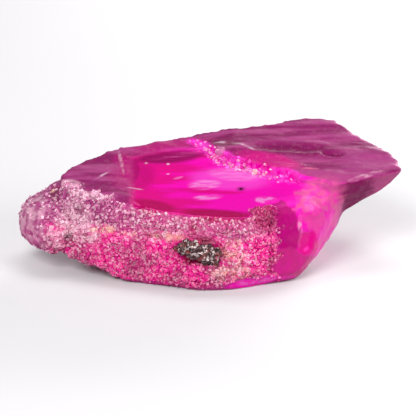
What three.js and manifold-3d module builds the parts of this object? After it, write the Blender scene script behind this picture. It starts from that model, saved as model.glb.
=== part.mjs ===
// Padparadscha sapphire crystal: one broken, tabular piece of rough corundum.
// Millimetres, +Z up, +X along the crystal, -Y towards its granular front.
// The origin is on the resting plane, under the middle of the crystal's box.
import * as THREE from "three";
import { ConvexGeometry } from "three/addons/geometries/ConvexGeometry.js";
import { ImprovedNoise } from "three/addons/math/ImprovedNoise.js";
import { mergeVertices } from "three/addons/utils/BufferGeometryUtils.js";
import Module from "manifold-3d";

const wasm = await Module();
wasm.setup();

// Levels. The top face leans towards the front, so its height grows with y.
const TOP_HEIGHT = 4.04;
const TOP_RISE = 0.176;
const LEDGE_STEP = 0.42;
const WING_CROWN = 0.12;
const SPARE = 0.5;
const FAR_AWAY = 20;
const WELD = 1e-4;
const FINE_WELD = 1e-3;

// The rough form before its faces broke: rims seen from above as [x, y], and points as [x, y, z].
const TOP_RIM = [
  [-7.0, 0.6], [-5.2, -0.7], [-3.6, -1.4], [-1.8, -2.0], [0.1, -2.35], [1.6, -2.6], [4.15, -1.5],
  [6.2, 0.2], [5.0, 4.9], [1.0, 4.7], [-1.1, 4.5], [-3.1, 3.8], [-4.6, 3.2], [-5.6, 2.5], [-6.7, 1.5],
];
const LEDGE_CROWN = [[0.2, 3.6], [1.6, 1.6], [4.6, 0.6], [4.4, 4.2]];
const FOOT_RIM = [
  [-3.0, -1.8], [-1.2, -2.6], [0.0, -2.95], [0.8, -2.8], [2.2, -1.95], [3.6, -1.15],
  [4.0, 1.4], [2.6, 3.2], [-1.5, 3.0], [-3.6, 1.2],
];
const FRONT_BULGE = [
  [-5.9, -1.45, 2.4], [-3.7, -2.3, 2.2], [-1.6, -2.95, 1.9], [1.2, -3.15, 1.9], [2.9, -2.5, 1.7],
];
const FLANKS = [
  [-5.1, -1.7, 0.65], [-6.6, -1.0, 1.0], [-7.4, 0.2, 1.2], [-6.4, 2.2, 1.6], [4.2, -1.9, 0.4],
  [5.0, -0.5, 0.8], [5.6, 0.5, 1.25], [6.2, 1.0, 2.2], [5.6, 3.2, 1.8], [-4.4, 3.4, 3.0],
  [-1.1, 4.7, 3.2], [3.2, 4.8, 2.8],
];
const WING_RIM = [
  [4.5, 0.0], [6.3, -0.55], [7.7, 0.2], [8.95, 0.6], [9.2, 1.15], [8.5, 2.2], [7.4, 3.5], [6.4, 4.65],
  [5.4, 5.45], [4.2, 5.4], [3.2, 5.05], [1.0, 4.8], [-0.6, 4.4],
];
const WING_UNDERSIDE = [
  [6.1, 1.0, 2.2], [6.7, 1.0, 2.8], [7.7, 1.1, 3.3], [8.6, 1.2, 3.75], [8.0, 2.8, 3.9],
  [6.3, 4.3, 3.6], [5.4, 4.9, 3.4], [5.2, 2.8, 1.8], [1.0, 4.0, 3.5],
];

// The rounded left end, as lumps grown into each other.
const KNOB = { center: [-7.45, 0.85, 1.95], radii: [1.6, 1.9, 1.35], detail: 5 };
const KNOB_SHOULDER = { center: [-6.7, 1.1, 2.45], radii: [1.35, 1.6, 1.3], detail: 5 };
const KNOB_NECK = { center: [-5.7, 1.2, 2.0], radii: [1.9, 1.8, 1.5], detail: 5 };

// The skin drawn over the rough form: rays run in towards an axis inside the crystal.
const AXIS = { from: [-6.6, 0.8, 2.3], to: [7.2, 1.4, 3.7] };
const SKIN = { radius: 9, around: 52, along: 48, cap: 6 };
const LUMPS = { size: 1.5, height: 0.17 };
const PIMPLES = { size: 0.62, height: 0.1 };
const NOISE_ORIGIN = [31, 17, 53];
const CLEAN_BREAK = { from: 0.3, to: 0.42 };
const GROOVE = { x: [-6.0, 2.2], end: 1, height: 2.7, width: 0.3, depth: 0.28 };

// Where the ledge ends in a step, and the dished window in front of it, seen from above.
const STEP_EDGE = [
  [-0.9, 4.1], [-0.35, 3.65], [0.0, 3.1], [0.25, 2.55], [0.75, 2.35], [1.0, 1.95], [1.6, 1.75], [2.0, 1.35],
  [2.45, 1.3], [2.8, 0.95], [3.6, 0.75], [4.1, 0.45], [5.4, 0.0], [6.3, -0.5],
];
const LEDGE_TIP = { at: [-0.9, 4.1], lift: 0.04, rise: 0.2 };
const WINDOW_EDGE = [
  [-3.75, -3.0], [-3.65, 0.4], [-3.6, 2.3], [-2.2, 2.9], [-0.6, 3.5], [1.5, 4.0],
  [5.0, 1.5], [4.6, -1.0], [2.6, -3.0],
];
const WINDOW_DISH = { center: [-0.2, 0.3], radii: [6.2, 5.0, 0.9], depth: 0.24, detail: 12 };
const EVERYWHERE = [
  [-FAR_AWAY, -FAR_AWAY], [FAR_AWAY, -FAR_AWAY], [FAR_AWAY, FAR_AWAY], [-FAR_AWAY, FAR_AWAY],
];
const BEHIND_STEP = [
  ...STEP_EDGE, [FAR_AWAY, STEP_EDGE.at(-1)[1]], [FAR_AWAY, FAR_AWAY], [STEP_EDGE[0][0], FAR_AWAY],
];

// The clean facet that the granular front stops at, and the line where it stops, seen from above.
const CLEAN_FACET = { point: [4.15, -1.62, 3.76], facing: [1.37, -5.29, 0.59] };
const CRUST_END = [[2.55, -FAR_AWAY], [FAR_AWAY, -FAR_AWAY], [FAR_AWAY, 0], [2.95, 0], [2.6, -2.2]];

// The dark mineral grain, and the pit that it grew in.
const PIT = { center: [-0.5, -3.15, 2.0], radii: [1.4, 0.6, 0.75], detail: 5 };
const DARK_GRAIN = {
  center: [-0.52, -2.85, 1.92], width: 2.0, height: 0.9, wander: 0.12, count: 16, size: [0.24, 0.4], seed: 29,
};

// The sugary grains of the front.
const GRAINS = {
  count: 90, x: [-7.8, 2.6], z: [0.3, 3.6], size: [0.16, 0.34], facing: 0.3, sunk: 0.55, seed: 11,
};
const GRAIN_STRETCH = [0.7, 1.25];

const colour = new THREE.MeshStandardMaterial({ color: 0xd6127f, roughness: 0.35, metalness: 0 });
const noise = new ImprovedNoise();

// A repeatable number from a range.
function between([low, high]) {
  return low + (high - low) * THREE.MathUtils.seededRandom();
}

function vector([x, y, z]) {
  return new THREE.Vector3(x, y, z);
}

// Height of the top face, or of a level parallel to it.
function topAt(y, lift = 0) {
  return TOP_HEIGHT + TOP_RISE * y + lift;
}

function onLevel(rim, lift) {
  return rim.map(([x, y]) => [x, y, topAt(y, lift)]);
}

function solidOf(geometry, weld = WELD) {
  const bare = geometry.clone();
  bare.deleteAttribute("normal");
  bare.deleteAttribute("uv");
  const merged = mergeVertices(bare, weld);
  return new wasm.Manifold(
    new wasm.Mesh({
      numProp: 3,
      vertProperties: new Float32Array(merged.attributes.position.array),
      triVerts: new Uint32Array(merged.index.array),
    }),
  );
}

function geometryOf(solid) {
  const mesh = solid.getMesh();
  return new THREE.BufferGeometry()
    .setAttribute("position", new THREE.BufferAttribute(mesh.vertProperties, 3))
    .setIndex(new THREE.BufferAttribute(mesh.triVerts, 1));
}

function hull(points) {
  return new ConvexGeometry(points.map(vector));
}

function lump({ center, radii, detail }) {
  return new THREE.IcosahedronGeometry(1, detail).scale(...radii).translate(...center);
}

// A plate between two levels parallel to the top face.
function plate(outline, lowLift, highLift) {
  const shape = new THREE.Shape(outline.map(([x, y]) => new THREE.Vector2(x, y)));
  const geometry = new THREE.ExtrudeGeometry(shape, { depth: 1, bevelEnabled: false });
  const position = geometry.attributes.position;
  for (let i = 0; i < position.count; i++) {
    const lift = position.getZ(i) > 0.5 ? highLift : lowLift;
    position.setZ(i, topAt(position.getY(i), lift));
  }
  return solidOf(geometry);
}

// Everything in front of a plane.
function beyond({ point, facing }) {
  const up = new THREE.Vector3(0, 0, 1);
  const turn = new THREE.Quaternion().setFromUnitVectors(up, vector(facing).normalize());
  const block = new THREE.BoxGeometry(2 * FAR_AWAY, 2 * FAR_AWAY, FAR_AWAY).translate(0, 0, FAR_AWAY / 2);
  return solidOf(block.applyQuaternion(turn).translate(...point));
}

function bumps(point, { size, height }) {
  const place = point.clone().divideScalar(size).add(vector(NOISE_ORIGIN));
  return height * noise.noise(...place.toArray());
}

// How far the skin is pushed in along the groove of the granular front.
function groove(point) {
  const [left, right] = GROOVE.x;
  const start = THREE.MathUtils.smoothstep(point.x, left, left + GROOVE.end);
  const stop = 1 - THREE.MathUtils.smoothstep(point.x, right - GROOVE.end, right);
  const across = (point.z - GROOVE.height) / GROOVE.width;
  return point.y < 0 ? GROOVE.depth * start * stop * Math.exp(-across * across) : 0;
}

// A closed skin shrunk onto the outermost of several forms, with the lumps of a grown surface.
// Faces that look to the right broke clean, so they stay flat.
function roughSkin(forms) {
  const targets = forms.map((form) => new THREE.Mesh(form, new THREE.MeshBasicMaterial()));
  const axis = new THREE.Line3(vector(AXIS.from), vector(AXIS.to));
  const geometry = new THREE.CapsuleGeometry(SKIN.radius, axis.distance(), SKIN.cap, SKIN.around, SKIN.along);
  const along = axis.delta(new THREE.Vector3()).normalize();
  geometry.applyQuaternion(new THREE.Quaternion().setFromUnitVectors(new THREE.Vector3(0, 1, 0), along));
  geometry.translate(...axis.getCenter(new THREE.Vector3()).toArray());
  const position = geometry.attributes.position;
  const ray = new THREE.Raycaster();
  for (let i = 0; i < position.count; i++) {
    const outside = new THREE.Vector3().fromBufferAttribute(position, i);
    const inside = axis.closestPointToPoint(outside, true, new THREE.Vector3());
    const inwards = inside.clone().sub(outside).normalize();
    ray.set(outside, inwards);
    const [hit] = ray.intersectObjects(targets);
    const rough = 1 - THREE.MathUtils.smoothstep(hit.face.normal.x, CLEAN_BREAK.from, CLEAN_BREAK.to);
    const swell = rough * (bumps(hit.point, LUMPS) + bumps(hit.point, PIMPLES)) - groove(hit.point);
    hit.point.addScaledVector(inwards, -swell);
    position.setXYZ(i, ...hit.point.toArray());
  }
  return solidOf(geometry);
}

// One small crystal grain, turned at random.
function grain(center, size) {
  const axes = [0, 1, 2];
  const stretch = axes.map(() => between(GRAIN_STRETCH));
  const turn = new THREE.Euler(...axes.map(() => between([0, Math.PI])));
  const geometry = new THREE.IcosahedronGeometry(size, 0).scale(...stretch);
  geometry.applyQuaternion(new THREE.Quaternion().setFromEuler(turn));
  return solidOf(geometry.translate(...center));
}

// Grains sown over the front, each sunk into the surface where it lands.
function sownGrains(solid, { count, x, z, size, facing, sunk, seed }) {
  THREE.MathUtils.seededRandom(seed);
  const target = new THREE.Mesh(geometryOf(solid), new THREE.MeshBasicMaterial());
  const backwards = new THREE.Vector3(0, 1, 0);
  const ray = new THREE.Raycaster();
  const grains = [];
  for (let i = 0; i < count; i++) {
    const radius = between(size);
    ray.set(new THREE.Vector3(between(x), -FAR_AWAY, between(z)), backwards);
    const [hit] = ray.intersectObject(target);
    if (!hit || hit.face.normal.y > -facing) continue;
    const center = hit.point.addScaledVector(hit.face.normal, -sunk * radius);
    if (center.z + radius < topAt(center.y)) grains.push(grain(center.toArray(), radius));
  }
  return grains;
}

// A cluster of knobbly grains, thickest in its middle.
function darkGrain({ center: [x, y, z], width, height, wander, count, size, seed }) {
  THREE.MathUtils.seededRandom(seed);
  const grains = [];
  for (let i = 0; i < count; i++) {
    const along = (i + 0.5) / count - 0.5;
    const spread = (height / 2) * (1 - Math.abs(along));
    const place = [x + along * width, y + between([-wander, wander]), z + between([-spread, spread])];
    grains.push(grain(place, between(size)));
  }
  return grains;
}

function joined(solids) {
  return solids.reduce((whole, piece) => whole.add(piece));
}

// The outer surface alone, with any pocket sealed between grains filled in.
function filled(geometry) {
  const shells = solidOf(geometry, FINE_WELD).decompose();
  const [outer] = shells.sort((one, other) => other.volume() - one.volume());
  return geometryOf(outer);
}

function roughForm() {
  const foot = FOOT_RIM.map(([x, y]) => [x, y, -SPARE]);
  const top = [...onLevel(TOP_RIM, LEDGE_STEP), ...onLevel(LEDGE_CROWN, LEDGE_STEP + SPARE)];
  const body = hull([...top, ...foot, ...FRONT_BULGE, ...FLANKS]);
  const wing = hull([...onLevel(WING_RIM, LEDGE_STEP + WING_CROWN), ...WING_UNDERSIDE]);
  return roughSkin([body, wing, ...[KNOB, KNOB_SHOULDER, KNOB_NECK].map(lump)]);
}

// What broke away above the top face, in front of the step, and over the ledge, which thins out at its tip.
function brokenTop() {
  const beforeStep = plate(EVERYWHERE, 0, FAR_AWAY).subtract(plate(BEHIND_STEP, -SPARE, FAR_AWAY));
  const overLedge = plate(EVERYWHERE, LEDGE_STEP, FAR_AWAY);
  const { at: [x, y], lift, rise } = LEDGE_TIP;
  const overTip = beyond({ point: [x, y, topAt(y, lift)], facing: [-rise, -TOP_RISE, 1] });
  return joined([beforeStep, overLedge, overTip.intersect(plate(BEHIND_STEP, 0, FAR_AWAY))]);
}

function windowDish() {
  const { center: [x, y], radii, depth, detail } = WINDOW_DISH;
  const lean = new THREE.Matrix4().makeShear(0, 0, 0, TOP_RISE, 0, 0);
  const bowl = lump({ center: [x, y, TOP_HEIGHT + radii[2] - depth], radii, detail }).applyMatrix4(lean);
  const window = solidOf(bowl).intersect(plate(WINDOW_EDGE, -SPARE, SPARE));
  return window.subtract(plate(BEHIND_STEP, -SPARE, FAR_AWAY));
}

function cleanFacet() {
  return beyond(CLEAN_FACET).intersect(plate(CRUST_END, -FAR_AWAY, 0));
}

function crystal() {
  const bare = roughForm().subtract(joined([brokenTop(), windowDish(), cleanFacet(), solidOf(lump(PIT))]));
  const whole = joined([bare, ...sownGrains(bare, GRAINS), ...darkGrain(DARK_GRAIN)]);
  const geometry = geometryOf(whole.subtract(beyond({ point: [0, 0, 0], facing: [0, 0, -1] })));
  geometry.computeBoundingBox();
  const middle = geometry.boundingBox.getCenter(new THREE.Vector3());
  const mesh = new THREE.Mesh(filled(geometry.translate(-middle.x, -middle.y, 0)), colour);
  mesh.name = "sapphire_crystal";
  return mesh;
}

const part = new THREE.Group();
part.add(crystal());

export default part;
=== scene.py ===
"""Looks of the padparadscha sapphire crystal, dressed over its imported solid.

The frame is the solid's own: +X along the crystal, -Y towards its granular front, +Z up, origin on the resting
plane. Pieces are shaped at one unit to the millimetre and brought to metres when they are finished.
"""

import logging
import math
from dataclasses import dataclass, field
from enum import Enum

import bpy
import numpy as np
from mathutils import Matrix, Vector, noise


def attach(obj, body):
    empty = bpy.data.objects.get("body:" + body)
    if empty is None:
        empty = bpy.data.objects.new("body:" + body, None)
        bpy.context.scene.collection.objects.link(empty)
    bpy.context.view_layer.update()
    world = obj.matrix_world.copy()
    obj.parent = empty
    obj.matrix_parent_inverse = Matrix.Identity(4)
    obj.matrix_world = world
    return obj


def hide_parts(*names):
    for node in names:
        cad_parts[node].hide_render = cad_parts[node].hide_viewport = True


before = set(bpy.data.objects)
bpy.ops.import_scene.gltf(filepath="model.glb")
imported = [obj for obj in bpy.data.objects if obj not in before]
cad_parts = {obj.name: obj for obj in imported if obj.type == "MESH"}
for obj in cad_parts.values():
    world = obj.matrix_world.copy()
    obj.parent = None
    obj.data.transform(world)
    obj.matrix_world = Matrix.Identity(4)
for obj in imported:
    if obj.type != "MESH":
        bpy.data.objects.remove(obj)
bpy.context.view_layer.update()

LOG = logging.getLogger("sapphire")
NODE = "sapphire_crystal"
BODY = "root"
MM = 0.001
PER_METRE = 1000.0

Colour = tuple[float, float, float, float]
Point2 = tuple[float, float]
Point3 = tuple[float, float, float]
Fade = tuple[float, float]
Values = np.ndarray

# The top face leans to the front: its height in millimetres is TOP_HEIGHT + TOP_RISE * y.
TOP_HEIGHT = 4.239
TOP_RISE = 0.176
# As seen by the camera, a place moves up by this much for each millimetre that it lies further back.
VIEW_SLOPE = 0.404

# Lines on the top, seen from above, in millimetres.
STEP_LINE: tuple[Point2, ...] = (
    (-0.92, 2.97), (-0.37, 2.52), (-0.02, 1.97), (0.23, 1.42), (0.73, 1.22), (0.98, 0.82), (1.58, 0.62),
    (1.98, 0.22), (2.43, 0.17), (2.78, -0.18), (3.58, -0.38), (4.08, -0.68), (5.38, -1.13), (6.28, -1.63),
)
WINDOW_LEFT: tuple[Point2, ...] = ((-3.6, -2.75), (-3.72, -2.2), (-3.72, 1.5))
WINDOW_BACK: tuple[Point2, ...] = ((-3.72, 1.5), (-2.85, 1.85), (-2.2, 2.12), (-1.6, 2.3), (-0.7, 2.45))
WINDOW_FRONT: tuple[Point2, ...] = (
    (4.1, -2.75), (2.55, -2.9), (1.75, -3.9), (0.1, -3.7), (-1.8, -3.35), (-3.6, -2.75),
)
FACET_TOP: tuple[Point2, ...] = ((2.9, -3.0), (4.15, -2.7), (5.4, -1.65), (6.3, -1.3))


class Breakup(Enum):
    """Ways in which a tint breaks up, each with the size of its bits along the axes, in millimetres."""

    ROUGH = (0.3, 0.3, 0.3)
    FIBRES = (0.8, 0.1, 0.3)


class Zone(Enum):
    """Parts of the crystal's surface that differ in form or finish, or that take painted shade, each kept as a mask
    on the mesh.
    """

    WINDOW = "window"
    FACET = "facet"
    CRUST = "crust"
    FROST = "frost"
    RISER = "riser"
    ORE = "ore"
    SOFT = "soft"
    BLOOM = "bloom"
    # The wing's underside, facing down, which takes painted shade.
    SHADE = "shaded"
    LEVEL = "level"
    REAR = "rear"
    HAZE = "haze"
    KNOB = "knob"


def srgb(red: int, green: int, blue: int) -> Colour:
    """Gives the linear colour of an 8-bit display colour.

    Args:
        red: Red from 0 to 255.
        green: Green from 0 to 255.
        blue: Blue from 0 to 255.

    Returns:
        The linear colour, opaque.
    """

    def linear(value: int) -> float:
        share = value / 255
        return share / 12.92 if share <= 0.04045 else ((share + 0.055) / 1.055) ** 2.4

    return (linear(red), linear(green), linear(blue), 1.0)


class Hue(Enum):
    """The crystal's colours."""

    HOT = srgb(255, 0, 190)
    GLOW = srgb(255, 70, 215)
    WISP = srgb(255, 160, 235)
    CERISE = srgb(232, 0, 140)
    DEEP = srgb(172, 0, 105)
    CRIMSON = srgb(176, 0, 80)
    ROSE = srgb(244, 70, 170)
    PINK = srgb(204, 86, 142)
    SALMON = srgb(226, 105, 150)
    MAUVE = srgb(166, 66, 126)
    LILAC = srgb(160, 64, 124)
    PLUM = srgb(122, 18, 82)
    DUSTY = srgb(200, 146, 172)
    SUGAR = srgb(232, 190, 204)
    PEACH = srgb(242, 200, 166)
    RUST = srgb(146, 8, 36)
    BROWN = srgb(104, 44, 62)
    BERRY = srgb(190, 44, 116)
    WINE = srgb(106, 0, 66)
    OLIVE = srgb(112, 76, 84)
    WHITE = srgb(250, 226, 240)


def ramp(values: Values, low: float, high: float) -> Values:
    """Eases values from 0 at low to 1 at high; low may be the larger of the two."""
    share = np.clip((values - low) / (high - low), 0.0, 1.0)
    return share * share * (3.0 - 2.0 * share)


def distance_to_line(places: Values, line: tuple[Point2, ...]) -> Values:
    """Measures how far places are from an open line.

    Args:
        places: Rows of two coordinates.
        line: The line's points.

    Returns:
        One distance for each place.
    """
    nearest = np.full(len(places), np.inf)
    for start, end in zip(line, line[1:]):
        first, along = np.array(start), np.subtract(end, start)
        share = np.clip((places - first) @ along / (along @ along), 0.0, 1.0)
        gap = places - first - share[:, None] * along
        nearest = np.minimum(nearest, np.hypot(gap[:, 0], gap[:, 1]))
    return nearest


def inside(places: Values, outline: tuple[Point2, ...], soft: float) -> Values:
    """Masks what lies inside a closed outline.

    Args:
        places: Rows of two coordinates.
        outline: The outline's corners in order.
        soft: Width over which the mask fades, half of it on each side.

    Returns:
        One value from 0, outside, to 1, inside, for each place.
    """
    within = np.zeros(len(places), bool)
    for (x0, y0), (x1, y1) in zip(outline, outline[1:] + outline[:1]):
        crosses = (places[:, 1] < y0) != (places[:, 1] < y1)
        reach = x0 + (places[:, 1] - y0) * (x1 - x0) / ((y1 - y0) or 1e-9)
        within ^= crosses & (places[:, 0] < reach)
    gap = distance_to_line(places, outline + outline[:1])
    return ramp(np.where(within, gap, -gap), -soft / 2, soft / 2)


def mottle(places: Values, size: Point3, octaves: int = 3) -> Values:
    """Gives smooth noise at places.

    Args:
        places: Rows of three coordinates.
        size: Size of the noise's features along each axis.
        octaves: How many finer layers it has.

    Returns:
        One value, mostly between 0 and 1, for each place.
    """
    near = places / np.array(size)
    return np.array([0.5 + 0.5 * noise.fractal(Vector(place), 1.0, 2.0, octaves) for place in near])


def mixed(first: Values, second: Values, share: Values) -> Values:
    """Mixes rows of colours, each row by its own share."""
    return first + (second - first) * share[:, None]


@dataclass(frozen=True)
class Spot:
    """A rounded place on the crystal.

    Attributes:
        center: Its middle, in millimetres.
        radii: Its reach along each axis, in millimetres.
        turn: Its turn about Z, in degrees.
    """

    center: Point3
    radii: Point3
    turn: float = 0.0

    def cover(self, places: Values) -> Values:
        """Masks the spot: 1 in its middle, 0 from its edge outwards."""
        x, y, z = (places - np.array(self.center)).T
        cosine, sine = math.cos(math.radians(self.turn)), math.sin(math.radians(self.turn))
        reach = np.stack((x * cosine + y * sine, y * cosine - x * sine, z), axis=1) / np.array(self.radii)
        return 1.0 - ramp(np.linalg.norm(reach, axis=1), 0.4, 1.0)


@dataclass(frozen=True)
class Panel:
    """A straight-edged place on the crystal's front.

    Attributes:
        corners: Its corners as seen from the front and above: how far across, and how far up, in millimetres.
        soft: Width over which its edge fades.
    """

    corners: tuple[Point2, ...]
    soft: float = 0.12

    def cover(self, places: Values) -> Values:
        """Masks the panel: 1 inside it, 0 outside it and on the crystal's back."""
        x, y, z = places.T
        return inside(np.stack((x, z + VIEW_SLOPE * y), axis=1), self.corners, self.soft) * ramp(-y, 0.3, 0.6)


# The clear sliver at the foot of the crystal's front.
SLIVER = Spot((1.9, -3.6, 0.25), (2.0, 0.9, 0.42))
# The broken faces at the crystal's right end.
DARK_FACET = Panel(
    ((2.65, 2.61), (3.28, 2.91), (3.85, 2.61), (4.04, 1.97), (4.19, 1.36), (4.04, 0.48), (3.03, 0.54), (3.03, 1.83)),
    soft=0.2,
)
UPPER_FACET = Panel(
    (
        (3.91, 3.35), (4.54, 3.56), (5.54, 3.25), (6.30, 3.25), (6.11, 2.57), (5.54, 2.41), (4.85, 2.61),
        (4.48, 2.24), (4.04, 2.71),
    ),
    soft=0.3,
)
BULGE = Panel(
    ((4.48, 2.17), (4.85, 2.51), (5.35, 2.30), (5.39, 1.76), (4.91, 1.39), (4.54, 1.56)),
    soft=0.3,
)
FLAT_FACET = Panel(((4.19, 1.22), (4.85, 1.39), (5.04, 0.81), (4.98, 0.27), (4.35, 0.17), (4.07, 0.51)))
LOWER_FACET = Panel(
    (
        (3.03, 0.48), (3.85, 0.61), (4.35, 0.17), (4.91, 0.14), (4.54, -0.40), (4.16, -0.84), (2.91, -0.84),
        (2.53, -0.47),
    ),
    soft=0.2,
)


@dataclass(frozen=True)
class Tint:
    """A spot or a panel with a colour of its own.

    Attributes:
        hue: Its colour.
        spot: Where it is.
        strength: How much of the colour shows.
        ragged: How much it breaks up, from 0 to 1.
        breakup: How it breaks up.
        crisp: How sharp and uneven its edge is, from 0 to just under 0.5.
    """

    hue: Hue
    spot: Spot | Panel
    strength: float = 1.0
    ragged: float = 0.0
    breakup: Breakup = Breakup.ROUGH
    crisp: float = 0.0

    def apply(self, colours: Values, places: Values, bits: dict[Breakup, Values]) -> Values:
        """Lays the tint over colours.

        Args:
            colours: Rows of four colour channels.
            places: Where each row is, in millimetres.
            bits: Noise from 0 to 1 for each way of breaking up.

        Returns:
            The tinted colours.
        """
        moved = places + self.crisp * (bits[Breakup.ROUGH] - 0.5)[:, None]
        cover = ramp(self.spot.cover(moved), self.crisp, 1.0 - self.crisp)
        broken = ramp(bits[self.breakup], 0.3 + 0.2 * self.ragged, 0.42 + 0.2 * self.ragged)
        share = cover * self.strength * (1.0 - self.ragged + self.ragged * broken)
        return mixed(colours, np.array(self.hue.value), share)


@dataclass(frozen=True)
class Dent:
    """A spot that stands out of the crystal or, with a negative height, sinks into it."""

    height: float
    spot: Spot

    def press(self, piece: bpy.types.Object) -> None:
        """Presses the dent into a piece's mesh."""
        group = keep_group(piece, "dent", self.spot.cover(coordinates(piece.data)))
        modify(piece, "DISPLACE", vertex_group=group.name, strength=self.height, mid_level=0.0)
        piece.vertex_groups.remove(piece.vertex_groups["dent"])


def only(*objects: bpy.types.Object) -> None:
    """Selects these objects and nothing else, the first one active."""
    bpy.ops.object.select_all(action="DESELECT")
    for thing in objects:
        thing.select_set(True)
    bpy.context.view_layer.objects.active = objects[0]


def scaled(piece: bpy.types.Object, factor: float) -> None:
    """Scales a piece about the origin, in its mesh."""
    only(piece)
    piece.scale = (factor, factor, factor)
    bpy.ops.object.transform_apply(location=False, rotation=False, scale=True)


def modify(piece: bpy.types.Object, kind: str, **settings: object) -> None:
    """Adds one modifier to a piece and applies it.

    Args:
        piece: The piece.
        kind: The modifier's type.
        settings: The modifier's settings.
    """
    only(piece)
    modifier = piece.modifiers.new(kind.lower(), kind)
    for name, value in settings.items():
        setattr(modifier, name, value)
    bpy.ops.object.modifier_apply(modifier=modifier.name)


def coordinates(mesh: bpy.types.Mesh) -> Values:
    """Gives a mesh's vertices as rows of three coordinates."""
    flat = np.zeros(len(mesh.vertices) * 3, np.float32)
    mesh.vertices.foreach_get("co", flat)
    return flat.reshape(-1, 3).astype(float)


def vertex_normals(mesh: bpy.types.Mesh) -> Values:
    """Gives a mesh's vertex normals as rows of three coordinates."""
    flat = np.zeros(len(mesh.vertices) * 3, np.float32)
    mesh.vertex_normals.foreach_get("vector", flat)
    return flat.reshape(-1, 3).astype(float)


def keep_group(piece: bpy.types.Object, name: str, values: Values, steps: int = 32) -> bpy.types.VertexGroup:
    """Keeps a mask as a vertex group.

    Args:
        piece: The piece.
        name: The group's name.
        values: One value from 0 to 1 for each vertex.
        steps: How finely the weights are divided.

    Returns:
        The vertex group.
    """
    group = piece.vertex_groups.new(name=name)
    levels = np.round(values * steps).astype(int)
    for level in range(1, steps + 1):
        chosen = np.flatnonzero(levels == level).tolist()
        if chosen:
            group.add(chosen, level / steps, "REPLACE")
    return group


@dataclass(frozen=True)
class Relief:
    """One layer of small relief, pressed into a piece through a texture.

    Attributes:
        kind: The texture's type.
        size: Size of the relief's features, in millimetres.
        height: How far it stands out, in millimetres.
        zone: The zone that it is limited to, or None for the whole piece.
        stretch: How much longer the features are along each axis.
        turn: Turn of the features about Z, in degrees.
        depth: Finer octaves of a cloud texture.
    """

    kind: str
    size: float
    height: float
    zone: Zone | None = None
    stretch: Point3 = (1.0, 1.0, 1.0)
    turn: float = 0.0
    depth: int = 2

    def press(self, piece: bpy.types.Object) -> None:
        """Presses the relief into a piece's mesh."""
        texture = bpy.data.textures.new("relief", self.kind)
        texture.noise_scale = self.size
        if self.kind == "CLOUDS":
            texture.noise_depth = self.depth
        bpy.ops.object.empty_add()
        guide = bpy.context.object
        guide.scale = self.stretch
        guide.rotation_euler = (0.0, 0.0, math.radians(self.turn))
        bpy.context.view_layer.update()
        modify(
            piece,
            "DISPLACE",
            texture=texture,
            texture_coords="OBJECT",
            texture_coords_object=guide,
            vertex_group=self.zone.value if self.zone else "",
            strength=self.height,
        )
        bpy.data.objects.remove(guide)
        bpy.data.textures.remove(texture)


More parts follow.
